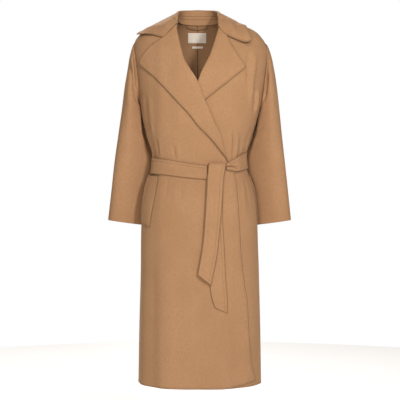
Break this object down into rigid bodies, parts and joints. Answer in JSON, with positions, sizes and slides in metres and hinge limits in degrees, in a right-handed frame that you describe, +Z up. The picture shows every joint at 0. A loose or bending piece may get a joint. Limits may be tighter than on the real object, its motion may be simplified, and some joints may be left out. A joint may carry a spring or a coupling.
{
  "type": "wool wrap coat",
  "caption": "Long wool wrap coat in its worn shape: broad notched lapels, upper front wrapped over the under front, tie belt with hanging ends, slanted welt pockets, open neck, cuffs and hem.",
  "frame": {"origin": "between the two high shoulder points, at their height, where the wearer's shoulders carry the coat and the neck comes up through it", "axes": "+Z up along the wearer, +Y towards the wearer's back, -Y out of the front, +X towards the wearer's left"},
  "size_m": [0.611, 0.3083, 1.2414],
  "materials": {
    "wool": "matt double-faced wool with a short brushed nap, camel",
    "label_cloth": "smooth woven satin, cream, bare"
  },
  "bodies": {
    "root": {"back_right": "wool", "back_left": "wool", "front_right": "wool", "front_left": "wool", "lapel_right": "wool", "lapel_left": "wool", "sleeve_right": "wool", "sleeve_left": "wool", "collar_stand": "wool", "collar_fall": "wool", "belt_band": "wool", "belt_knot": "wool", "belt_tail_front": "wool", "belt_tail_back": "wool", "pocket_welt_right": "wool", "pocket_welt_left": "wool", "hanger_loop": "wool", "label_neck": "label_cloth", "label_size": "label_cloth"}
  },
  "joints": []
}
